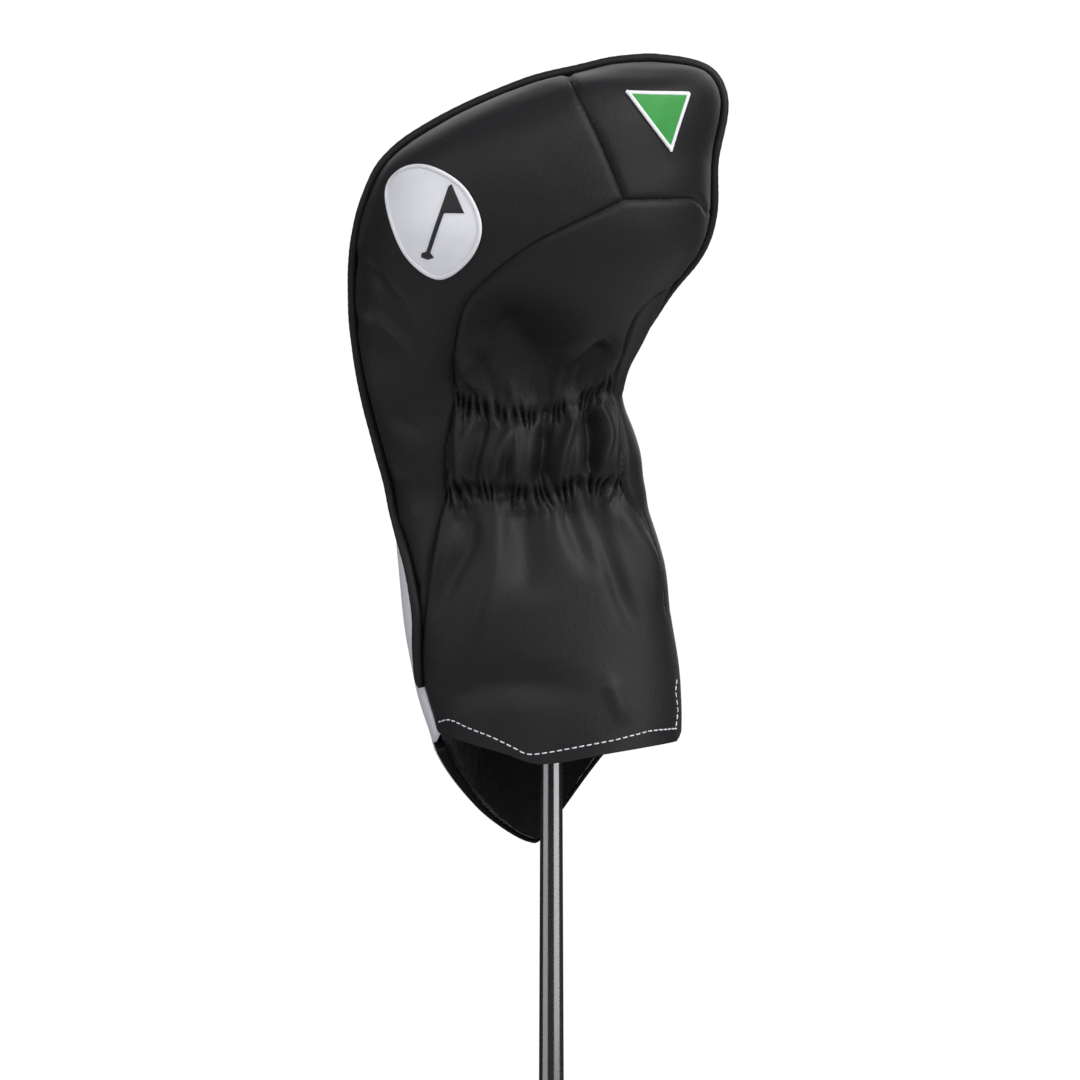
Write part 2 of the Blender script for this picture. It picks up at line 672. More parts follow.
def gathers(x, h):
    """The front panel's elastic rows: the pinch, the puckers on both sides and the folds between."""
    upper = row_at(UPPER_ROW, x)
    lower = row_at(LOWER_ROW, x)
    out = -1.2 * bell(h - upper, 3.2) - 1.2 * bell(h - lower, 3.2)
    out += puckers(x, h, UPPER_ROW, 3.3, 4.6, 3.6, 1) + puckers(x, h, LOWER_ROW, 3.2, 5.0, 3.8, 2)
    between = np.clip((h - lower) / np.maximum(upper - lower, 1), 0, 1)
    out += np.sin(math.pi * between) * 1.4
    clear = np.clip((h - lower - 1) / 9, 0, 1) * np.clip((upper - 1 - h) / 9, 0, 1)
    full = 0.25 + 0.75 * clear * clear * (3 - 2 * clear)  # the folds flatten where a row pinches them
    for points, width, height in BETWEEN_FOLDS:
        out += stroke(x, h, points, width, height, 0.2) * full
    below = np.clip((lower - h) / 58, 0, 1)
    fan = (x + 4) / (1 + 0.5 * below)
    phase = fan / 6.4 + 0.6 * wander(fan, 13.0, 41)
    fall = np.where(h < lower, np.exp(-((below / 0.24) ** 1.6)) * np.clip((lower - h) / 6, 0, 1), 0)
    out += fall * 1.2 * (np.abs(np.cos(math.pi * phase)) ** 1.4 - 0.6)
    above = np.clip((h - upper) / 40, 0, 1)
    rise = np.where(h > upper, np.exp(-((above / 0.22) ** 1.6)) * np.clip((h - upper) / 6, 0, 1), 0)
    phase = (x + 0.25 * (h - upper) * np.sign(-x)) / 6.6 + 0.6 * wander(x, 12.0, 45)
    out += rise * 1.2 * (np.abs(np.cos(math.pi * phase)) ** 1.4 - 0.6)
    return out


def slow(base, size, height, seed):
    """A gentle unevenness over the whole piece."""
    offset = Vector((seed * 3.1, seed * 1.7, seed * 2.3))
    return np.array([noise.noise(Vector(p) / size + offset) for p in base]) * height


print("strokes ready")

# %% [markdown]
# ## The front panel
# One wide piece, sewn into the curved seam on the left and the toe panel above, and gathered twice by
# elastic sewn behind it. Below the gathers it falls as a skirt to a turned hem with a corner at the right.

# %% Front panel
arc = smooth_line(ARC_SEAM)
toe = smooth_line(TOE_SEAM)
right = smooth_line(RIGHT_SEAM)
hem = smooth_line(FRONT_HEM)
arc_on = under_view(arc)
toe_on = under_view(toe)
right_on = under_view(right)
hem_on = under_view(hem)
STRIP_FOOT = -184.0
foot_t = join_at(STRIP_FOOT, False)
strip_foot_on = np.array([[join_angle(np.array(foot_t), False), foot_t]])
right_shoulder_on = join_line(-13.5, -30.5, False)
right_side_on = join_line(STRIP_FOOT, -197.0, False)
vent_run = np.linspace(join_at(-199.0, False), join_at(-226.0, False), 30)
vent_on = np.stack([np.interp(np.arange(30), [0, 6, 22, 29], [-0.42, -0.16, -0.12, 0.06]), vent_run], -1)
left_low_on = join_line(-221.0, -207.0, True)
FRONT_FOLDS = [
    # above the upper row
    ([(24, -66.5), (16.5, -73), (11.5, -80), (9, -90)], 4.0, -5.0),
    ([(0.5, -92), (3.5, -80), (8, -72), (15, -67.5), (24, -64)], 2.6, 3.0),
    ([(30, -66), (25.5, -72), (20, -79), (17, -89)], 1.9, 1.8),
    ([(-20, -54), (-14, -68), (-8, -80), (-4, -92)], 9.0, -5.0),
    ([(-26, -62), (-6, -70), (16, -72)], 13.0, -4.5),
    ([(-37, -71), (-33.4, -80), (-25, -88)], 2.8, 3.4),
    ([(-30, -72), (-26, -81), (-20, -90)], 2.6, -1.8),
    ([(-17, -82), (-15, -88), (-13, -93)], 2.2, 1.4),
    ([(52, -20), (46, -32), (36, -46)], 8, 1.0),
    # the skirt
    ([(-44, -131), (-46, -150), (-49, -176)], 3.0, 1.6),
    ([(-35, -129), (-35, -147), (-42, -162), (-49, -184)], 4.6, -3.6),
    ([(-24.5, -129), (-23, -154), (-30, -181), (-40, -210)], 5.6, 3.2),
    ([(-13, -129), (-10.5, -146), (-7, -174)], 7.6, -4.4),
    ([(6, -129), (11, -144), (19, -164)], 4.8, -3.6),
    ([(15, -129), (22, -148), (31, -174), (42, -198)], 4.0, -2.8),
    ([(23, -129), (33, -142), (42, -156), (47, -178)], 4.0, 2.2),
    ([(-46, -218), (-38, -209), (-20, -204.5), (4, -206.5), (25, -213)], 7.0, -2.2),
    ([(24, -203), (27, -212), (32, -224)], 3.6, 1.6),
]
FINE_REACH = 9.5  # mm above and below the rows where the cloth is divided more finely


def front_shape(x, h, base, angle):
    """The gathers, fading round the sides, then the folds and a gentle unevenness."""
    in_front = 1 / (1 + np.exp(-(math.pi * 0.5 - np.abs(angle - math.pi / 2)) * 6))
    return folded(gathers(x, h) * in_front, x, h, FRONT_FOLDS) + slow(base, 30.0, 0.9, 3)


def near_rows(flat):
    """Where the gathers need a finer cloth."""
    p = surface(flat[:, 0], flat[:, 1])
    above = p[:, 2] - row_at(UPPER_ROW, p[:, 0])
    below = p[:, 2] - row_at(LOWER_ROW, p[:, 0])
    return (above < FINE_REACH) & (below > -FINE_REACH)


front_outline = np.vstack([
    toe_on[:-1], right_shoulder_on, right_on[:-1], strip_foot_on, right_side_on[1:], vent_on[:-1],
    hem_on[:-1], left_low_on, arc_on[:-1],
])
front_panel = panel(
    "gathered_front", front_outline, [toe_on, right_on, arc_on], 1.25, front_shape, BLACK_SKIN,
    joins=[right_shoulder_on, left_low_on], fine_where=near_rows,
)

# %% [markdown]
# ## The side band, the toe panel and the strip
# Three smaller front pieces frame the gathered one. The band runs up the left side and over the top, the
# toe panel closes the top right, and a narrow strip runs down the right side from the toe to the skirt.

# %% Side band, toe panel and side strip
slant = smooth_line(SLANT_SEAM)
SLANT_MEETS = 6.9  # the x at which the slanting seam meets the cover's outline
edge_t = np.linspace(0.7, 0.99, 600)
SLANT_TOP = float(np.interp(SLANT_MEETS, surface(np.full(600, math.pi), edge_t)[:, 0], edge_t))
slant_on = np.vstack([under_view(slant), [[math.pi, SLANT_TOP]]])
NEAR_APEX = 0.9993
band_side_on = join_run(join_at(-206.0, True), SLANT_TOP, True, 260)
BAND_FOLDS = [
    ([(-78.5, -31), (-66.5, -47), (-53, -61)], 3.2, -4.0),
    ([(-78.5, -55), (-66.5, -66), (-56, -70)], 3.0, -3.2),
    ([(-70, -46), (-60, -60), (-54, -74)], 4.0, 0.9),
    ([(-70, -92), (-60, -98), (-50, -101)], 4.0, -1.0),
    ([(-66, -120), (-58, -124), (-48, -128)], 4.0, -1.1),
    ([(-64, -140), (-58, -136), (-50, -134)], 3.5, 0.8),
    ([(-61, -170), (-57, -168), (-53, -160)], 3.5, -0.7),
    ([(-46, -60), (-50, -80), (-54, -104)], 6.0, 0.8),
]


def over_apex(from_angle, to_angle):
    """The short edge round the apex, where front and back pieces meet at the top."""
    return np.stack([np.linspace(from_angle, to_angle, 24), np.full(24, NEAR_APEX)], -1)


def band_shape(x, h, base, angle):
    return folded(slow(base, 34.0, 0.8, 11) + slow(base, 12.0, 0.18, 13), x, h, BAND_FOLDS)


side_band = panel(
    "side_band_cover", np.vstack([band_side_on, slant_on[::-1][1:], arc_on[::-1][1:]]),
    [slant_on, arc_on], 1.3, band_shape, BLACK_SKIN, joins=[band_side_on],
)

toe_left_on = np.stack([np.full(60, math.pi), np.linspace(SLANT_TOP, NEAR_APEX, 60)], -1)
toe_right_on = join_run(NEAR_APEX, join_at(-12.2, False), False, 150)
toe_top_on = over_apex(math.pi, 0)


def toe_shape(x, h, base, angle):
    return slow(base, 30.0, 0.7, 17) + stroke(x, h, [(64, 8), (52, 2), (38, 2)], 6, 0.7)


toe_outline = np.vstack([slant_on, toe_left_on[1:], toe_top_on[1:-1], toe_right_on, toe_on[::-1][:-1]])
toe_panel = panel(
    "toe_panel_cover", toe_outline, [slant_on, toe_on], 1.2, toe_shape, BLACK_SKIN,
    joins=[toe_left_on, toe_right_on],
)

strip_side_on = join_line(STRIP_FOOT, -30.5, False)
STRIP_FOLDS = [([(40, -44), (33, -52)], 4, -0.9), ([(30, -84), (24, -92)], 3, -0.8)]


def strip_shape(x, h, base, angle):
    """A few folds, and ripples where the elastics end beside it."""
    out = folded(slow(base, 26.0, 0.6, 23), x, h, STRIP_FOLDS)
    return out + 0.5 * np.cos(h / 4.2) * bell(h + 88, 9) + 0.5 * np.cos(h / 4) * bell(h + 126, 9)


side_strip = panel(
    "side_strip_cover", np.vstack([right_on, strip_side_on]), [right_on], 1.2, strip_shape, BLACK_SKIN,
    joins=[strip_side_on],
)

# %% [markdown]
# ## The back
# The upper back is black like the band. Below a straight seam the back is one pale piece that ends in
# a long rounded tongue, which hangs below the front hem and guides the shaft when the cover is pulled on.

# %% Back band and back panel
def across_back(height, count=120):
    """The line round the back at one height, from the left join to the right one."""
    start = join_angle(np.array(join_at(height, True)), True)
    end = join_angle(np.array(join_at(height, False)), False) + 2 * math.pi
    angles = np.linspace(float(start), float(end), count)
    low, high = np.zeros(count), np.full(count, 0.999)
    for _ in range(40):
        t = (low + high) / 2
        above = surface(angles, t)[:, 2] > height
        high = np.where(above, t, high)
        low = np.where(above, low, t)
    return np.stack([angles, t], -1)


def back_band_shape(x, h, base, angle):
    return slow(base, 32.0, 1.2, 29) + stroke(x, h, [(-40, -20), (0, -30), (36, -24)], 9, -0.8)


back_seam_on = across_back(BACK_SEAM)
tongue = smooth_line(TONGUE_HEM)
tongue_on = under_view(tongue, behind=True)
back_top_on = over_apex(math.pi, 2 * math.pi)
left_up_on = join_run(join_at(BACK_SEAM, True), NEAR_APEX, True, behind=True)
right_down_on = join_run(NEAR_APEX, join_at(BACK_SEAM, False), False, behind=True)
back_band = panel(
    "back_band_cover", np.vstack([left_up_on, back_top_on[1:-1], right_down_on, back_seam_on[::-1][1:-1]]),
    [back_seam_on], 1.7, back_band_shape, BLACK_SKIN, joins=[left_up_on, right_down_on],
)

right_low_on = join_run(join_at(BACK_SEAM, False), join_at(-199.5, False), False, behind=True)
left_back_on = join_run(join_at(-226.0, True), join_at(BACK_SEAM, True), True, behind=True)
BACK_FOLDS = [
    ([(-50, -70), (-30, -84), (-6, -88)], 7, -1.1),
    ([(22, -62), (12, -80), (0, -92)], 7, -1.0),
    ([(-44, -112), (-20, -118), (14, -114)], 7, -1.3),
    ([(-30, -150), (-10, -176), (4, -210)], 9, 1.0),
    ([(30, -140), (24, -170), (10, -206)], 8, -0.9),
    ([(-46, -196), (-30, -212), (-18, -236)], 7, -0.8),
]


HEM_GROOVE = [(x, height + 6.5) for x, height in TONGUE_HEM]


def back_shape(x, h, base, angle):
    """Broad folds, and a shallow groove along the hem where the layers are sewn together."""
    out = folded(slow(base, 36.0, 1.3, 31), x, h, BACK_FOLDS)
    return out + stroke(x, h, HEM_GROOVE, 1.3, -0.5, 0.1)


back_panel = panel(
    "back_panel_cover",
    np.vstack([back_seam_on, right_low_on[1:], tongue_on[::-1][1:], left_back_on[:-1]]),
    [back_seam_on], 1.6, back_shape, PALE_SKIN, joins=[right_low_on, left_back_on],
)

# %% [markdown]
# ## Fleece lining and elastics
# A brushed fleece bag lines the cover so that it does not scratch the club's paint. It stops a little short
# of the hems. The two elastics lie flat between the fleece and the gathered front.

# %% Lining and elastics
LINING_THICK = 2.4
LINING_DEEP = -3.5  # where the lining lies under the cover's pattern, in mm
CLEAR_OF_FRONT = 1.2  # the lining is never further out than this over the gathered front's own shape
ELASTIC_HALF = 4.0


def front_lining_shape(x, h, base, angle):
    """Loose cloth that is drawn in behind the rows and follows the front's deep folds."""
    deep = bell(h - row_at(UPPER_ROW, x), 12) + bell(h - row_at(LOWER_ROW, x), 12)
    loose = slow(base, 14.0, 0.4, 37) - 1.9 * deep - 0.8
    return np.minimum(loose, front_shape(x, h, base, angle) + CLEAR_OF_FRONT)


def back_lining_shape(x, h, base, angle):
    return slow(base, 16.0, 0.5, 39) + slow(base, 2.4, 0.35, 41) - 1.0


front_lining_outline = np.vstack([
    join_run(join_at(-217.0, True), NEAR_APEX, True),
    toe_top_on[1:-1],
    join_run(NEAR_APEX, join_at(-202.0, False), False),
    under_view(hem + (0, 3.0))[1:],
])
back_lining_outline = np.vstack([
    join_run(join_at(-222.0, True), NEAR_APEX, True, behind=True),
    back_top_on[1:-1],
    join_run(NEAR_APEX, join_at(-196.0, False), False, behind=True),
    under_view(tongue + (0, 1.0), behind=True)[::-1],
])
front_lining = panel(
    "fleece_front", front_lining_outline, [], 2.6, front_lining_shape, FLEECE, LINING_THICK, LINING_DEEP
)
back_lining = panel(
    "fleece_back", back_lining_outline, [], 1.9, back_lining_shape, FLEECE, LINING_THICK, LINING_DEEP
)

elastic_finish = Finish("woven_elastic", (0.02, 0.02, 0.022), 0.85, Specular_IOR_Level=0.2)
weave = elastic_finish.wave(elastic_finish.place(), 260.0, "Z")
rib = elastic_finish.wave(elastic_finish.place(), 420.0, "X")
elastic_finish.bump(elastic_finish.math("ADD", weave, rib), 0.6, 0.0003)
elastic_finish.tint(weave, (0.012, 0.012, 0.013), (0.04, 0.04, 0.043))


def rippled(x, h, base, angle):
    return -0.15 * np.abs(np.cos(x))


def elastic(name, row):
    """A flat band behind the gathered front, a little rippled by the gathers."""
    line = smooth_line(row[1:-1])
    low = under_view(line - (0, ELASTIC_HALF))
    high = under_view(line + (0, ELASTIC_HALF))
    return panel(name, np.vstack([low, high[::-1]]), [], 1.2, rippled, elastic_finish.material, 0.9, -4.35)


upper_elastic = elastic("elastic_upper", UPPER_ROW)
lower_elastic = elastic("elastic_lower", LOWER_ROW)

# %% [markdown]
# ## Sweeps
# The welt, the satin borders and the stitches are all a small section carried along a line on the cover.
# The sweep keeps the section upright on the surface, closes its ends, and lays a UV map along it in metres,
# which the satin's threads follow.


# %% Sweep
def sweep(name, path, normals, section, material, closed=False, taper=None):
    """Carries a closed section of (across, up) points along a path, all in mm."""
    n, m = len(path), len(section)
    ahead = np.roll(path, -1, 0) - np.roll(path, 1, 0)
    if not closed:
        ahead[0], ahead[-1] = path[1] - path[0], path[-1] - path[-2]
    ahead /= np.linalg.norm(ahead, axis=1, keepdims=True)
    up = normals - ahead * (normals * ahead).sum(1, keepdims=True)
    up /= np.linalg.norm(up, axis=1, keepdims=True)
    side = np.cross(ahead, up)
    size = (np.ones(n) if taper is None else taper)[:, None, None]
    section = np.asarray(section, float)
    across, tall = section[None, :, :1], section[None, :, 1:]
    verts = path[:, None] + side[:, None] * across * size + up[:, None] * tall * size
    faces = []
    for i in range(n if closed else n - 1):
        a, b = i * m, (i + 1) % n * m
        for j in range(m):
            k = (j + 1) % m
            faces.append((a + j, a + k, b + k, b + j))
    if not closed:
        faces.append(tuple(range(m))[::-1])
        faces.append(tuple((n - 1) * m + j for j in range(m)))
    obj = mesh_object(name, to_metres(verts.reshape(-1, 3)), faces, material)
    mesh = obj.data
    uv = mesh.uv_layers.new(name="laid")
    run_length = lengths_along(path)
    round_length = lengths_along(section)
    for polygon in mesh.polygons:
        for loop_index, vertex in zip(polygon.loop_indices, polygon.vertices):
            uv.data[loop_index].uv = (run_length[vertex // m] * MM, round_length[vertex % m] * MM)
    face_outwards(obj, SOFT_EDGE)
    return obj


def circle(radius, count, flat=1.0):
    a = np.linspace(0, 2 * math.pi, count, endpoint=False)
    return np.stack([radius * np.cos(a), radius * flat * np.sin(a)], -1)


def lifted(spots, lift):
    """Places lift mm off the cover at some (angle, t), and the surface's normals there."""
    normal = surface_normal(spots[:, 0], spots[:, 1])
    return surface(spots[:, 0], spots[:, 1]) + normal * lift, normal


# %% [markdown]
# ## Welt
# A welt is a strip of leatherette folded round a cord and sewn into the join, so it stands proud of both
# sides. It starts low on the left, runs over the top and ends low on the right.

# %% Welt
WELT_RADIUS = 1.95
WELT_STAND = 1.5  # the cord's middle over the join
WELT_STEP = 0.9  # the least distance between two points of the welt's path
WELT_ENDS = [0.45, 0.75, 0.92, 0.98]  # how the cord thins out towards an end
WELT_TOP = 0.996
welt_on = np.vstack([
    join_run(join_at(-206.5, True), WELT_TOP, True, 330),
    join_run(WELT_TOP, join_at(-190.0, False), False, 330),
])
welt_path, welt_normal = lifted(welt_on, WELT_STAND)
keep = [0]
for i in range(1, len(welt_path)):
    if np.linalg.norm(welt_path[i] - welt_path[keep[-1]]) > WELT_STEP:
        keep.append(i)
welt_path, welt_normal = welt_path[keep], welt_normal[keep]
for _ in range(3):
    welt_path[1:-1] = (welt_path[:-2] + 2 * welt_path[1:-1] + welt_path[2:]) / 4
    welt_normal[1:-1] = (welt_normal[:-2] + 2 * welt_normal[1:-1] + welt_normal[2:]) / 4
place_along = np.arange(len(welt_path))
plump = 1 + 0.035 * wander(place_along * 1.0, 9.0, 51) + 0.02 * np.cos(place_along * 2 * math.pi / 3.3)
plump[:4] = WELT_ENDS
plump[-4:] = WELT_ENDS[::-1]
around = np.linspace(-0.38 * math.pi, 1.38 * math.pi, 19)
WELT_TAIL = [(-0.55, -2.6), (-0.5, -3.8), (0.5, -3.8), (0.55, -2.6)]  # the strip's edge inside the join
welt_section = np.vstack([
    np.stack([WELT_RADIUS * np.cos(around), WELT_RADIUS * np.sin(around)], -1), WELT_TAIL,
])
welt = sweep("welt", welt_path, welt_normal, welt_section, BLACK_SKIN, taper=plump)
print("welt", len(welt.data.polygons), "faces,", round(lengths_along(welt_path)[-1]), "mm long")

# %% [markdown]
# ## Hem stitches
# The hem is turned up and top-stitched in white, a few millimetres above the edge. Each stitch is a short
# bridge of thread that dives into the skin at both ends, so they are modelled one by one.

# %% Hem stitches
DASH, DASH_PITCH, YARN = 2.2, 3.1, 0.3  # a stitch's length, its pitch and the thread's radius, in mm
STITCH_ARCH = np.array([-1, -0.1, 0.2, 0.3, 0.2, -0.1, -1])  # how a stitch rises and dives
STITCH_TAPER = np.array([0.6, 0.95, 1, 1, 1, 0.95, 0.6])
STITCH_LIFT = 0.3
HEM_STITCH = [
    (-46.8, -221.0), (-41.6, -220.1), (-33.2, -223.5), (-24.5, -226.8), (-15.8, -231), (-10.4, -233.7),
    (-4.8, -233.7), (4.3, -232.2), (17, -229.8), (26.3, -228), (34.5, -225.9), (41, -224.4), (52.2, -223.6),
]


def follow(spots, ground):
    """How far a shaped panel stands off the plain pattern at some (angle, t)."""
    base = surface(spots[:, 0], spots[:, 1])
    return ground(base[:, 0], base[:, 2], base, spots[:, 0])


def stitches(name, spots, ground, dive=0.55):
    """A row of top stitches along a line of (angle, t) on a panel, whose ends dive so deep into it."""
    path, normal = lifted(spots, 0)
    stands = follow(spots, ground)
    fine, _ = dense_line(np.hstack([path, normal, stands[:, None]]), 0.2)
    along = lengths_along(fine[:, :3])
    count = int(along[-1] / DASH_PITCH)
    arch = STITCH_ARCH * dive + STITCH_LIFT
    section = circle(YARN, 8, 0.85)
    made = []
    for k in range(count):
        start = k * DASH_PITCH + 0.3
        at = np.linspace(start, start + DASH, 7)
        row = np.stack([np.interp(at, along, fine[:, c]) for c in range(7)], -1)
        place = row[:, :3] + row[:, 3:6] * (arch + row[:, 6])[:, None]
        made.append(sweep(f"{name}_{k}", place, row[:, 3:6], section, HEM_YARN, taper=STITCH_TAPER))
    for piece in made:
        piece.select_set(True)
    bpy.context.view_layer.objects.active = made[0]
    bpy.ops.object.join()
    made[0].name = name
    print(name, count, "stitches")
    return made[0]


vent_t = np.linspace(join_at(-223.0, False), join_at(-201.5, False), 40)
vent_spots = np.stack([np.interp(np.arange(40), [0, 12, 27, 39], [0.36, 0.3, 0.34, 0.24]), vent_t], -1)
front_hem_thread = stitches("hem_stitches", under_view(smooth_line(HEM_STITCH, 0.5)), front_shape)
vent_thread = stitches("vent_stitches", vent_spots, front_shape, dive=0.1)

# %% [markdown]
# ## Binding
# The tongue's edge, where skin and fleece meet, is turned in under a narrow black binding, so that no pale
# edge shows from the front.

# %% Tongue binding
BINDING_DEEP = -2.7  # the binding's middle under the cover's pattern, in mm
BINDING_HALF = (0.9, 2.2)  # half its width across the edge, and half its height through the layers
TAPE_SKIN = leatherette("binding_tape", (0.002, 0.002, 0.0022), (0.004, 0.004, 0.0044), 0.8, 0.12)
binding_line = smooth_line(TONGUE_HEM, 1.0)
binding_path, binding_normal = lifted(under_view(binding_line, behind=True), BINDING_DEEP)
stands = back_shape(binding_line[:, 0], binding_line[:, 1], binding_path, None)
binding_path += binding_normal * stands[:, None]
binding_section = circle(1.0, 16) * BINDING_HALF
tongue_binding = sweep("tongue_binding", binding_path, binding_normal, binding_section, TAPE_SKIN)
print("binding", round(lengths_along(binding_path)[-1]), "mm long")

# %% [markdown]
# ## Embroidered patch
# The patch is machine embroidery: rows of short fill stitches laid on the slant, and a satin border round
# the edge. The fill's finish is a field of small bricks, each one stitch. Satin stitch is a bed of threads
# side by side, so its finish is a fine wave along the border's run.


# %% Embroidery finishes
def fill_finish(name, dark, light, turn, pitch=0.00045, length=0.0024):
    """Fill stitches: rows of short threads, each row shifted against the next."""
    yarn = Finish(name, light, 0.5, Specular_IOR_Level=0.4, Sheen_Weight=0.2, Sheen_Roughness=0.35)
    where = yarn.place(turn=(-math.pi / 2, 0, math.radians(turn)))
    rows = yarn.node(
        "ShaderNodeTexBrick", Scale=1.0, Mortar_Size=pitch * 0.16, Mortar_Smooth=1.0, Brick_Width=length,
        Row_Height=pitch, offset=0.37,
    )
    yarn.link(where, rows.inputs["Vector"])
    fray = yarn.noise(yarn.place(), 1800.0, detail=3.0)
    lay = yarn.math("SUBTRACT", 1.0, rows.outputs["Fac"])
    patchy = yarn.noise(yarn.place(), 160.0, detail=2.0)
    shade = yarn.math("MULTIPLY", lay, yarn.spread(yarn.math("ADD", fray, patchy), 0.6, 1.4, 0.72, 1.05))
    yarn.tint(shade, dark, light)
    yarn.bump(lay, 0.7, 0.0002, yarn.bump(fray, 0.2, 0.0001))
    return yarn.material


def satin_finish(name, dark, light, pitch=0.00042):
    """Satin stitch: threads side by side across the border, along the sweep's own run."""
    yarn = Finish(name, light, 0.42, Specular_IOR_Level=0.45, Sheen_Weight=0.2, Sheen_Roughness=0.3)
    where = yarn.place(uv=True)
    lay = yarn.wave(where, wave_scale(pitch), "X", 0.3)
    fray = yarn.noise(yarn.place(), 1500.0)
    yarn.tint(yarn.math("MULTIPLY", lay, yarn.spread(fray, 0.2, 0.8, 0.75, 1.1)), dark, light)
    yarn.bump(lay, 0.6, 0.0002)
    return yarn.material


WHITE_FILL = fill_finish("white_fill_stitches", (0.70, 0.70, 0.76), (0.94, 0.94, 0.98), 38)
WHITE_SATIN = satin_finish("white_satin_stitches", (0.72, 0.72, 0.76), (0.95, 0.95, 0.97))
BLACK_FILL = fill_finish("black_fill_stitches", (0.006, 0.006, 0.007), (0.02, 0.02, 0.022), -20)
GREEN_FILL = fill_finish("green_fill_stitches", (0.008, 0.10, 0.015), (0.035, 0.34, 0.055), 74)
print("embroidery finishes made")

# %% [markdown]
# ## The patch and its flag
# The patch is a rounded blank that narrows downwards, with a small flag on a leaning stick. Each stitched
# field is a thin panel that lies on the band's own shape, and the border is swept round its edge.

# %% Patch and flag
PATCH = [(-67.3, -6), (-62, 4), (-50, 6), (-35.5, -2.5), (-28.4, -18), (-33, -31.5), (-46, -39.5), (-60, -29)]
FLAG = [
    (-52.6, -30.6), (-50, -31.6), (-47.4, -30.8), (-48.9, -28.9), (-43.3, -13.2), (-35.2, -13.4),
    (-40.2, -1.6), (-41.4, -2.4), (-50.5, -28.4), (-52.4, -28.9),
]


def closed_smooth(points, step=0.8):
    """A smooth closed line: one lap, from the second point until it comes round again."""
    line = smooth_line([*points, *points[:3]], step)
    away = np.linalg.norm(line - points[1], axis=1)
    start = int(np.argmin(away))
    end = start + 5 + int(np.argmin(away[start + 5:]))
    return line[start:end]


def shrunk(outline, by):
    """A closed outline moved inwards."""
    ahead = np.roll(outline, -1, 0) - np.roll(outline, 1, 0)
    ahead /= np.linalg.norm(ahead, axis=1, keepdims=True)
    inward = np.stack([-ahead[:, 1], ahead[:, 0]], -1)
    area = (outline[:, 0] * np.roll(outline[:, 1], -1) - np.roll(outline[:, 0], -1) * outline[:, 1]).sum()
    return outline + inward * by * np.sign(area)


def embroidered(name, outline, lift, thickness, material, ground, spacing=0.9, edge=0.5):
    """A filled field of stitches on a panel, its rim rolled down into the skin."""
    seam = under_view(outline)
    line = surface(seam[:, 0], seam[:, 1])

    def shape(x, h, base, angle):
        near, _ = distance_to(base, [np.vstack([line, line[:1]])])
        return ground(x, h, base, angle) - edge * np.exp(-((near / 0.7) ** 2))

    return panel(name, seam, [], spacing, shape, material, thickness, lift)


def border(name, outline, width, tall, lift, ground):
    """A raised satin border round an outline."""
    spots = under_view(outline)
    path, normal = lifted(spots, lift)
    path = path + normal * follow(spots, ground)[:, None]
    section = circle(1.0, 14) * (width / 2, tall / 2)
    return sweep(name, path, normal, section, WHITE_SATIN, closed=True)


patch_line = closed_smooth(PATCH)
patch_fill = embroidered("patch_fill", shrunk(patch_line, 0.5), 1.15, 1.0, WHITE_FILL, band_shape)
patch_border = border("patch_border", shrunk(patch_line, 0.75), 1.9, 1.5, 1.0, band_shape)
flag_line = dense_line(np.array([*FLAG, FLAG[0]]), 0.6)[0][:-1]
patch_flag = embroidered("patch_flag", flag_line, 1.75, 0.6, BLACK_FILL, band_shape, 0.6, 0.35)
print("patch", len(patch_line), "points round its edge")

# %% [markdown]
# ## Emblem on the toe
# A small three-cornered badge: green fill stitches inside a white satin edge, with rounded corners.

# %% Emblem
EMBLEM = [(29.5, 36.4), (56.6, 36.4), (48.4, 11.3)]


def rounded(corners, radius, step=0.5):
    """A closed outline with its corners rounded."""
    out = []
    c = [np.array(p, float) for p in corners]
    for before, here, after in zip([c[-1], *c[:-1]], c, [*c[1:], c[0]]):
        a = here + (before - here) / np.linalg.norm(before - here) * radius
        b = here + (after - here) / np.linalg.norm(after - here) * radius
        f = np.linspace(0, 1, 7)[:, None]
        out.append((1 - f) ** 2 * a + 2 * f * (1 - f) * here + f**2 * b)
    line = np.vstack([*out, out[0][:1]])
    return dense_line(line, step)[0][:-1]


emblem_line = rounded(EMBLEM, 1.4)
emblem_border = border("emblem_edge", shrunk(emblem_line, 0.8), 1.7, 1.2, 0.6, toe_shape)
emblem_ground = embroidered(
    "emblem_field", shrunk(emblem_line, 1.2), 0.8, 0.7, GREEN_FILL, toe_shape, 0.7, 0.1
)
print("emblem", len(emblem_line), "points round its edge")

# %% [markdown]
# ## Finishes for the club
# The graphite shaft has a clear-coated metallic paint. The head is satin dark paint with a woven carbon
# crown, a brushed steel face, and a turned steel weight in its sole. The grip is matt rubber.

# %% Club finishes
paint = Finish("shaft_paint", (0.2, 0.2, 0.205), 0.16, Metallic=0.9, Coat_Weight=0.6, Coat_Roughness=0.06)
flow = paint.noise(paint.place(scale=(1, 1, 0.15)), 90.0, detail=3.0)
paint.rough(flow, 0.13, 0.2)
paint.tint(paint.noise(paint.place(), 900.0), (0.17, 0.17, 0.175), (0.23, 0.23, 0.235))
paint.bump(flow, 0.03, 0.0002)
SHAFT_PAINT = paint.material

satin = Finish("head_paint", (0.028, 0.03, 0.033), 0.38, Metallic=0.35, Coat_Weight=0.3, Coat_Roughness=0.2)
flake = satin.cells(satin.place(), 2600.0)
satin.tint(flake, (0.02, 0.021, 0.023), (0.05, 0.053, 0.058))
satin.rough(satin.noise(satin.place(), 40.0, detail=4.0), 0.3, 0.46)
HEAD_PAINT = satin.material

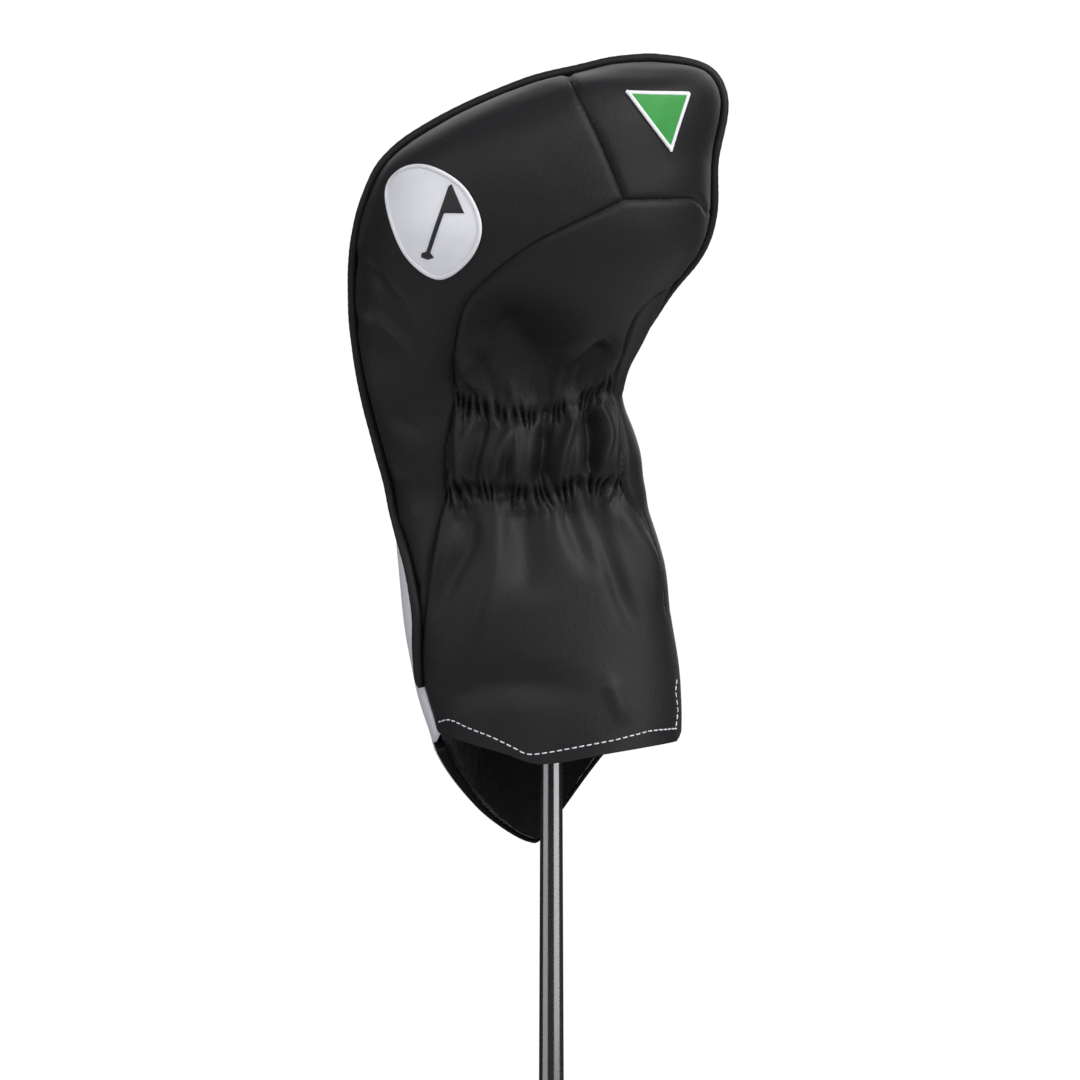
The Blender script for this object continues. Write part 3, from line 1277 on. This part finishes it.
carbon = Finish("carbon_weave", (0.02, 0.02, 0.022), 0.3, Coat_Weight=1.0, Coat_Roughness=0.05)
laid = carbon.place(turn=(0.5, 0.6, 0.8))
tow = carbon.node("ShaderNodeTexChecker", Scale=420.0)
carbon.link(laid, tow.inputs["Vector"])
strand = carbon.wave(laid, 500.0, "X", 0.4)
carbon.tint(carbon.math("MULTIPLY", tow.outputs["Fac"], strand), (0.012, 0.012, 0.013), (0.05, 0.05, 0.054))
carbon.rough(tow.outputs["Fac"], 0.24, 0.4)
CARBON = carbon.material


def brushed(name, color, roughness, turn=(0, 0, 0)):
    steel = Finish(name, color, roughness, Metallic=1.0)
    streak = steel.noise(steel.place(scale=(30, 1500, 30), turn=turn), 1.0, detail=6.0, rough=0.7)
    steel.rough(streak, roughness - 0.08, roughness + 0.1)
    steel.tint(streak, tuple(c * 0.8 for c in color), color)
    steel.bump(streak, 0.12, 0.0001)
    return steel.material


FACE_STEEL = brushed("face_steel", (0.55, 0.56, 0.58), 0.36, (0.6, 0.3, 0.9))
WEIGHT_STEEL = brushed("weight_steel", (0.66, 0.67, 0.69), 0.3)
SCREW_STEEL = brushed("screw_steel", (0.42, 0.43, 0.45), 0.36)

rubber = Finish("grip_rubber", (0.018, 0.018, 0.02), 0.78, Specular_IOR_Level=0.3)
grit = rubber.noise(rubber.place(), 1700.0, detail=3.0)
dust = rubber.noise(rubber.place(), 30.0, detail=5.0)
rubber.tint(dust, (0.014, 0.014, 0.015), (0.03, 0.03, 0.032))
rubber.rough(dust, 0.7, 0.88)
rubber.bump(grit, 0.5, 0.0002)
RUBBER = rubber.material

plastic = Finish("ferrule_plastic", (0.01, 0.01, 0.011), 0.16, Coat_Weight=0.5, Coat_Roughness=0.05)
plastic.rough(plastic.noise(plastic.place(), 60.0), 0.13, 0.24)
plastic.tint(plastic.noise(plastic.place(), 300.0), (0.008, 0.008, 0.009), (0.014, 0.014, 0.015))
FERRULE_PLASTIC = plastic.material

tape = Finish("grip_tape_paper", (0.72, 0.67, 0.56), 0.9)
tape.tint(tape.noise(tape.place(), 500.0, detail=5.0), (0.6, 0.55, 0.45), (0.78, 0.73, 0.62))
TAPE = tape.material
plug_finish = Finish("tip_plug_foam", (0.28, 0.3, 0.26), 0.85)
plug_finish.tint(plug_finish.cells(plug_finish.place(), 900.0), (0.18, 0.2, 0.17), (0.33, 0.35, 0.3))
PLUG = plug_finish.material
print("club finishes made")

# %% [markdown]
# ## Turned parts
# Shaft, ferrule, grip, hosel, weight and screw are all turned. One circle is extruded along the axis and
# resized at each step of the profile, as a lathe tool follows its template. A hollow part's last ring is
# welded to its first.


# %% Turning tool
def turned(name, profile, material, segments=64, hollow=True, sharp=40):
    """A turned part from (radius, z) points in mm. A hollow profile closes on itself."""
    bpy.ops.object.select_all(action="DESELECT")
    first = profile[0]
    bpy.ops.mesh.primitive_circle_add(
        vertices=segments, radius=first[0] * MM, fill_type="NOTHING" if hollow else "NGON",
        location=(0, 0, first[1] * MM),
    )
    obj = bpy.context.object
    obj.name = name
    bpy.ops.object.transform_apply(location=True, rotation=True, scale=True)
    bpy.ops.object.mode_set(mode="EDIT")
    bpy.ops.mesh.select_mode(type="EDGE" if hollow else "FACE")
    bpy.ops.mesh.select_all(action="SELECT")
    steps = [*profile[1:], profile[0]] if hollow else profile[1:]
    now = first
    for radius, z in steps:
        bpy.ops.mesh.extrude_region_move(TRANSFORM_OT_translate={"value": (0, 0, (z - now[1]) * MM)})
        k = radius / now[0]
        bpy.ops.transform.resize(value=(k, k, 1), center_override=(0, 0, 0))
        now = (radius, z)
    bpy.ops.mesh.select_all(action="SELECT")
    bpy.ops.mesh.remove_doubles(threshold=1e-6)
    bpy.ops.object.mode_set(mode="OBJECT")
    obj.data.materials.append(material)
    face_outwards(obj, sharp)
    return obj


TIP, BUTT, SHAFT_WALL = 4.25, 7.6, 1.1  # the shaft's radii and its wall
FIT = 0.3  # the clearance between parts that are glued
CLUB = LEVEL - 3.0  # the level of the club's sole, a little under the pattern's own
HOSEL_END = CLUB - 58.0
SHAFT_TIP_Z = HOSEL_END + 34.7
TAPER_TOP = SHAFT_TIP_Z - 130  # over this height the shaft's tip runs straight
GRIP = 268.0


def shaft_radius(z):
    return min(BUTT, TIP + (BUTT - TIP) * max(TAPER_TOP - z, 0) / (TAPER_TOP - GRIP / 2))


SHAFT_STEPS = (4.3, 60, 134, 268, 400, 520, 640, 760, 860, TAPER_TOP, 1000, SHAFT_TIP_Z)
outer = [(shaft_radius(z), z) for z in SHAFT_STEPS]
shaft = turned("shaft_tube", outer + [(r - SHAFT_WALL, z) for r, z in reversed(outer)], SHAFT_PAINT, 96)
BORE = TIP + FIT
FERRULE_STEPS = [  # the radius at each depth under the ferrule's top
    (BORE, 22), (5.0, 21.8), (5.25, 20), (5.45, 15), (5.7, 11.2), (5.55, 10.9), (5.55, 10.3), (5.75, 10),
    (6.3, 5), (6.75, 0.6), (6.7, 0), (BORE, 0),
]
ferrule_top = HOSEL_END - FIT
ferrule_profile = [(radius, ferrule_top - depth) for radius, depth in FERRULE_STEPS]
ferrule = turned("ferrule_ring", ferrule_profile, FERRULE_PLASTIC, 72)
print("shaft and ferrule turned")

# %% [markdown]
# ## Grip
# The grip is moulded rubber that slides over the tape. Its outer wall tapers from the cap to the mouth, and
# rows of small sunk lozenges give the fingers hold. They are made by insetting chosen faces of the turned
# wall and pushing them in. Smooth bands part them into four fields.

# %% Grip
TAPE_THICK = 0.6
WALL_AT_CAP, WALL_AT_MOUTH = 4.4, 1.6  # the rubber's thickness at both ends


def tape_outer(z):
    return shaft_radius(z) + FIT + TAPE_THICK


def grip_outer(z):
    toward_mouth = min(max((z - 10) / (GRIP - 10), 0), 1)
    return tape_outer(z) + FIT + WALL_AT_CAP + (WALL_AT_MOUTH - WALL_AT_CAP) * toward_mouth


VENT = 1.2  # the radius of the small hole in the cap
GRIP_SIDES = 48
FIELD_ROWS = 23  # rows from one smooth band to the next
SMOOTH_ROWS = (0, 1, 21, 22)
rows = np.linspace(12, 262, 92)
cap = [(VENT, 0), (12.6, 0), (13.7, 0.25), (14.4, 0.9), (14.6, 1.8), (14.6, 3.6), (14.1, 5.2), (13.5, 8)]
wall = [(grip_outer(z), z) for z in rows]
mouth_radius = grip_outer(GRIP)
mouth = [(grip_outer(265), 265.5), (mouth_radius - 0.35, 267.4), (mouth_radius - 0.9, GRIP)]
inside = [(tape_outer(z) + FIT, z) for z in (GRIP, 134, 4)]
grip = turned("rubber_grip", [*cap, *wall, *mouth, *inside, (VENT, 4)], RUBBER, GRIP_SIDES)
only(grip)
bpy.ops.object.mode_set(mode="EDIT")
bpy.ops.mesh.select_mode(type="FACE")
bpy.ops.mesh.select_all(action="DESELECT")
cage = bmesh.from_edit_mesh(grip.data)
row_height = rows[1] - rows[0]
for face in cage.faces:
    middle = face.calc_center_median() / MM
    if math.hypot(middle.x, middle.y) < grip_outer(middle.z) - 0.6 or not 22 < middle.z < 256:
        continue
    row = int((middle.z - rows[0]) // row_height)
    column = int((math.atan2(middle.y, middle.x) % (2 * math.pi)) / (2 * math.pi / GRIP_SIDES))
    face.select = row % FIELD_ROWS not in SMOOTH_ROWS and (row + column) % 2 == 0
bmesh.update_edit_mesh(grip.data)
bpy.ops.mesh.inset(thickness=0.00028, use_individual=True)
bpy.ops.transform.shrink_fatten(value=-0.00035)
bpy.ops.object.mode_set(mode="OBJECT")
print("grip", len(grip.data.polygons), "faces")

# %% [markdown]
# ## Head
# The head is a squashed round: a ball is pulled into a head's plan, flattened under the sole, cut by the
# lofted face plane, and its rims are bevelled. The crown is a carbon piece let into a pocket, the face
# has its own oval insert, and the sole carries a weight held by a screw.

# %% Head frame
LENGTH, DEPTH, HEIGHT = 98.0, 82.0, 35.0
LIE, LOFT = math.radians(57), math.radians(15)
TURN = math.radians(-52)  # how far the head is turned under the cover
toeward = Vector((math.cos(TURN) * math.sin(LIE), math.sin(TURN) * math.sin(LIE), math.cos(LIE)))
backward = Vector((math.sin(TURN), -math.cos(TURN), 0))
crownward = toeward.cross(backward)
head_axes = Matrix((toeward, backward, crownward)).transposed().to_4x4()
HEAD_PLACE = Matrix.Translation((0, 0, CLUB * MM)) @ head_axes
HEEL_PAST, FACE_AHEAD = 20, 15  # how far the heel and the face lie past the shaft's axis
CENTRE = (LENGTH / 2 - HEEL_PAST, DEPTH / 2 - FACE_AHEAD)
PARTING = HEIGHT * 0.34  # where crown and sole meet
FACE_NORMAL = Vector((0, -math.cos(LOFT), math.sin(LOFT)))


def bool_with(obj, cutter, operation):
    """Applies a boolean and removes the cutter."""
    only(obj)
    step = obj.modifiers.new("cut", "BOOLEAN")
    step.operation = operation
    step.solver = "EXACT"
    step.object = cutter
    bpy.ops.object.modifier_apply(modifier="cut")
    bpy.data.objects.remove(cutter)


def oval_prism(centre, half_x, half_y, from_z, to_z, segments=128):
    """An upright oval cutter, in mm."""
    bpy.ops.object.select_all(action="DESELECT")
    bpy.ops.mesh.primitive_cylinder_add(vertices=segments, radius=1, depth=(to_z - from_z) * MM)
    obj = bpy.context.object
    obj.scale = (half_x * MM, half_y * MM, 1)
    obj.location = (centre[0] * MM, centre[1] * MM, (from_z + to_z) / 2 * MM)
    bpy.ops.object.transform_apply(location=True, rotation=True, scale=True)
    return obj


def copy_of(obj, name):
    made = obj.copy()
    made.data = obj.data.copy()
    made.name = name
    bpy.context.scene.collection.objects.link(made)
    return made


def refinish(obj, material):
    obj.data.materials.clear()
    obj.data.materials.append(material)


def finish_part(obj, material, sharp=35, place=HEAD_PLACE):
    """Puts a part built in the head's own frame in its place, with its finish."""
    obj.data.transform(place)
    refinish(obj, material)
    face_outwards(obj, sharp)
    return obj


print("head frame set, its toe", round(math.degrees(TURN)), "degrees round from the right")

# %% [markdown]
# ## The head's shell
# The ball becomes the shell, and copies of it give the crown and the face their own curves. Pockets are cut
# for both and for the weight, and the hosel is joined on before its bore is cut.

# %% Head body
bpy.ops.object.select_all(action="DESELECT")
bpy.ops.mesh.primitive_uv_sphere_add(segments=128, ring_count=64, radius=1)
body = bpy.context.object
body.name = "head_shell"
HALF_DEPTH = DEPTH / 2 + 3  # the ball reaches a little past the face plane that cuts it
for v in body.data.vertices:
    x, y, z = v.co
    across = math.hypot(x, y)
    squarer = across / (abs(x) ** 2.5 + abs(y) ** 2.5) ** 0.4 if across > 1e-6 else 0
    flatter = across**0.45 / max(across, 1e-6) if z < 0 else 1
    lean = -HALF_DEPTH * 0.12 * z if z > 0 else 0
    v.co = Vector((
        CENTRE[0] + x * squarer * flatter * LENGTH / 2,
        CENTRE[1] + y * squarer * flatter * HALF_DEPTH + lean,
        PARTING + z * ((HEIGHT - PARTING) if z > 0 else PARTING),
    )) * MM
only(body)
bpy.ops.object.mode_set(mode="EDIT")
bpy.ops.mesh.select_all(action="SELECT")
bpy.ops.mesh.bisect(
    plane_co=(0, -FACE_AHEAD * MM, 0), plane_no=FACE_NORMAL, use_fill=True, clear_outer=True
)
bpy.ops.mesh.select_mode(type="FACE")
bpy.ops.mesh.region_to_loop()
bpy.ops.mesh.bevel(offset=0.0012, segments=4, profile=0.5)
bpy.ops.object.mode_set(mode="OBJECT")
crown = copy_of(body, "crown_shell")
face_part = copy_of(body, "face_insert")
CROWN_RIM = 13  # the shell's rim round the crown plate
FACE_LEVEL = HEIGHT * 0.44
face_at = Vector((CENTRE[0] + 2, -FACE_AHEAD + FACE_LEVEL * math.tan(LOFT), FACE_LEVEL))
square_to_face = FACE_NORMAL.to_track_quat("Z", "Y").to_matrix().to_4x4()
FACE_PLACE = Matrix.Translation(face_at * MM) @ square_to_face
FACE_HALF_LENGTH = LENGTH * 0.27
FACE_HALF_HEIGHT = HEIGHT * 0.27


def crown_prism(inset, floor_z):
    """The crown plate's oval, from a floor inside the shell to well above it."""
    half_x, half_y = LENGTH / 2 - CROWN_RIM - inset, DEPTH / 2 - CROWN_RIM - inset
    return oval_prism((CENTRE[0] + 2, CENTRE[1] + 3), half_x, half_y, floor_z, HEIGHT + 20)


def face_prism(inset, from_y, to_y):
    """An oval prism square to the face plane."""
    tool = oval_prism((0, 0), FACE_HALF_LENGTH - inset, FACE_HALF_HEIGHT - inset, from_y, to_y)
    tool.data.transform(FACE_PLACE)
    return tool


bool_with(body, crown_prism(0, PARTING + 5.2), "DIFFERENCE")
bool_with(crown, crown_prism(0.3, PARTING + 5.6), "INTERSECT")
bool_with(body, face_prism(0, -2.8, 20), "DIFFERENCE")
bool_with(face_part, face_prism(0.3, -2.5, 20), "INTERSECT")
WEIGHT_AT = (CENTRE[0] + 2, CENTRE[1] + DEPTH * 0.2)
bool_with(body, oval_prism(WEIGHT_AT, 8.3, 8.3, -10, 3.8, 96), "DIFFERENCE")
finish_part(body, HEAD_PAINT)
HOSEL_RADIUS = 6.85
HOSEL_TOP = HOSEL_END + 44  # the hosel's tube ends inside the shell
hosel_profile = [
    (BORE, HOSEL_END), (HOSEL_RADIUS - 0.4, HOSEL_END), (HOSEL_RADIUS, HOSEL_END + 0.4),
    (HOSEL_RADIUS, HOSEL_TOP), (BORE, HOSEL_TOP),
]
hosel = turned("hosel_tube", hosel_profile, HEAD_PAINT, 96)
bore = turned("hosel_bore", [(BORE, HOSEL_END - 5), (BORE, HOSEL_END + 36)], HEAD_PAINT, 64, hollow=False)
bool_with(body, hosel, "UNION")
bool_with(body, bore, "DIFFERENCE")
finish_part(body, HEAD_PAINT, place=Matrix.Identity(4))
print("head shell", len(body.data.polygons), "faces")

# %% [markdown]
# ## Crown plate, face plate and weight
# The crown plate gets a fine bevel, the face plate nine score lines that shorten towards its ends, and
# the weight is turned and held by a screw with a sunk head.

# %% Crown, face and weight
SCORE_LINES, SCORE_PITCH = 9, 1.9
only(crown)
edge = crown.modifiers.new("rim", "BEVEL")
edge.width = 0.0003
edge.segments = 2
edge.limit_method = "ANGLE"
edge.angle_limit = math.radians(50)
bpy.ops.object.modifier_apply(modifier="rim")
finish_part(crown, CARBON)
for k in range(SCORE_LINES):
    from_middle = k - SCORE_LINES // 2
    scriber = oval_prism((0, 0), FACE_HALF_LENGTH - 4.5 - 0.55 * from_middle**2, 0.3, -0.35, 5, 24)
    scriber.data.transform(FACE_PLACE @ Matrix.Translation((0, from_middle * SCORE_PITCH * MM, 0)))
    bool_with(face_part, scriber, "DIFFERENCE")
finish_part(face_part, FACE_STEEL)
weight_place = HEAD_PLACE @ Matrix.Translation((WEIGHT_AT[0] * MM, WEIGHT_AT[1] * MM, 0))
weight_profile = [
    (2.3, 0.5), (3.6, 0.5), (4.0, 0.9), (7.4, 0.9), (7.7, 0.55), (8.0, 0.8), (8.0, 3.5), (3.9, 3.5),
    (3.9, 2.4), (2.3, 2.4),
]
screw_profile = [(1.9, 0.9), (3.3, 0.9), (3.55, 1.1), (3.55, 1.9), (2.0, 1.9), (2.0, 4.6)]
weight = turned("sole_weight_disc", weight_profile, WEIGHT_STEEL, 96)
finish_part(weight, WEIGHT_STEEL, place=weight_place)
screw = turned("weight_screw_head", screw_profile, SCREW_STEEL, 48, hollow=False)
only(screw)
bpy.ops.object.mode_set(mode="EDIT")
bpy.ops.mesh.select_mode(type="FACE")
bpy.ops.mesh.select_all(action="DESELECT")
cage = bmesh.from_edit_mesh(screw.data)
for face in cage.faces:
    face.select = len(face.verts) > 8 and face.calc_center_median().z < 0.001
bmesh.update_edit_mesh(screw.data)
bpy.ops.mesh.extrude_region_move(TRANSFORM_OT_translate={"value": (0, 0, 0.0006)})
bpy.ops.transform.resize(value=(0.9, 0.9, 1), center_override=(0, 0, 0))
bpy.ops.object.mode_set(mode="OBJECT")
finish_part(screw, SCREW_STEEL, place=weight_place)
for node, material in (("grip_tape", TAPE), ("tip_plug", PLUG)):
    refinish(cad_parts[node], material)
print("head parts done")

# %% [markdown]
# ## Light and stage
# A white catalogue background, with soft light from both sides. The right box is the brighter one: it
# draws the bright line down the shaft and the sheen along the folds. The backdrop is only seen by the
# camera, so that dark glossy edges stay dark, as they do when flags stand beside the set.


# %% Stage
def area_light(name, where, size, power, color=(1, 1, 1), target=(0.0, 0.0, 0.97)):
    data = bpy.data.lights.new(name, "AREA")
    data.shape = "RECTANGLE"
    data.size, data.size_y = size
    data.energy = power
    data.color = color
    light = bpy.data.objects.new(name, data)
    light.location = where
    light.rotation_euler = (Vector(target) - Vector(where)).to_track_quat("-Z", "Y").to_euler()
    bpy.context.scene.collection.objects.link(light)
    light.visible_camera = False
    return light


area_light("left_box", (-2.2, -1.18, 2.05), (2.7, 3.1), 35, (0.97, 0.98, 1.0), (0, 0, 1.6))
area_light("right_box", (2.03, -1.45, 1.95), (2.9, 2.6), 60, (1.0, 1.0, 0.995), (0, 0, 1.65))
area_light("top_box", (1.3, -0.8, 2.8), (2.2, 1.8), 36)
area_light("front_fill", (-0.6, -4.2, 3.0), (2.0, 1.4), 42, (0.97, 0.97, 1.0))
area_light("back_box", (0.3, 2.8, 1.9), (2.6, 1.8), 26)

world = bpy.data.worlds.new("studio")
world.use_nodes = True
sky = world.node_tree.nodes
background = sky["Background"]
where = sky.new("ShaderNodeTexCoord")
split = sky.new("ShaderNodeSeparateXYZ")
fall_off = sky.new("ShaderNodeMapRange")
wire = world.node_tree.links.new
wire(where.outputs["Generated"], split.inputs["Vector"])
wire(split.outputs["Z"], fall_off.inputs["Value"])
wire(fall_off.outputs["Result"], background.inputs["Strength"])
for socket, value in (("From Min", 0.0), ("From Max", 0.9), ("To Min", 0.02), ("To Max", 0.24)):
    fall_off.inputs[socket].default_value = value
background.inputs["Color"].default_value = (0.92, 0.94, 1.0, 1.0)
bpy.context.scene.world = world
bpy.context.scene.view_settings.view_transform = "Standard"
bpy.context.scene.view_settings.look = "None"

FLOOR_RADIUS = 2.8
DOME_RADIUS = 22.0  # outside every camera
bpy.ops.object.select_all(action="DESELECT")
bpy.ops.mesh.primitive_circle_add(vertices=96, radius=FLOOR_RADIUS, fill_type="NGON", location=(0, 0, -0.003))
floor = bpy.context.object
floor.name = "studio_floor"
floor_finish = Finish("floor_paint", (0.55, 0.55, 0.56), 0.7)
floor_finish.tint(floor_finish.noise(floor_finish.place(), 2.0), (0.54, 0.54, 0.55), (0.57, 0.57, 0.58))
floor.data.materials.append(floor_finish.material)
bpy.ops.mesh.primitive_uv_sphere_add(segments=64, ring_count=32, radius=DOME_RADIUS)
dome = bpy.context.object
dome.name = "studio_backdrop"
glow = Finish(
    "backdrop_glow", (0, 0, 0), 1.0, Emission_Color=(1, 1, 1, 1), Emission_Strength=1.02,
    Specular_IOR_Level=0.0,
)
dome.data.materials.append(glow.material)
for hidden in ("visible_glossy", "visible_diffuse", "visible_transmission", "visible_shadow"):
    setattr(dome, hidden, False)
print("stage set")

# %% [markdown]
# ## What stands for what
# Each piece moves with its body and takes the finish slot of the node it stands for. The cover's skins are
# padded pieces. The lining and elastics are sheets that were cut flat before they were sewn in. A flat
# size comes from the modelled area, and the fleece has an allowance for its seams.

# %% Rides, slots and soft pieces
COVER_PIECES = [
    (side_band, "side_band", "leatherette"), (toe_panel, "toe_panel", "leatherette"),
    (front_panel, "front_panel", "leatherette"), (side_strip, "side_strip", "leatherette"),
    (back_band, "back_band", "leatherette"), (back_panel, "back_panel", "pale_leatherette"),
    (front_lining, "lining_front", "fleece"), (back_lining, "lining_back", "fleece"),
    (upper_elastic, "upper_elastic", "elastic"), (lower_elastic, "lower_elastic", "elastic"),
    (front_hem_thread, "hem_thread", "thread"), (vent_thread, None, "thread"),
    (welt, "piping", "leatherette"), (tongue_binding, None, "leatherette"),
    (patch_fill, "patch", "embroidery"), (patch_border, None, "embroidery"),
    (patch_flag, "patch_mark", "mark_thread"),
    (emblem_border, "emblem_border", "embroidery"), (emblem_ground, "emblem_ground", "green_thread"),
]
CLUB_PIECES = [
    (body, "head_body", "head"), (crown, "crown_plate", "carbon_crown"),
    (face_part, "face_plate", "face_steel"), (weight, "sole_weight", "weight"),
    (screw, "weight_screw", "screw"), (ferrule, "ferrule", "ferrule"),
    (shaft, "shaft", "shaft"), (grip, "grip", "grip"),
]
for riders, body_name in ((COVER_PIECES, "cover"), (CLUB_PIECES, "club")):
    for piece, node, finish_slot in riders:
        if node:
            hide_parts(node)
        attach(piece, body_name)


print("padded pieces and sheets named")
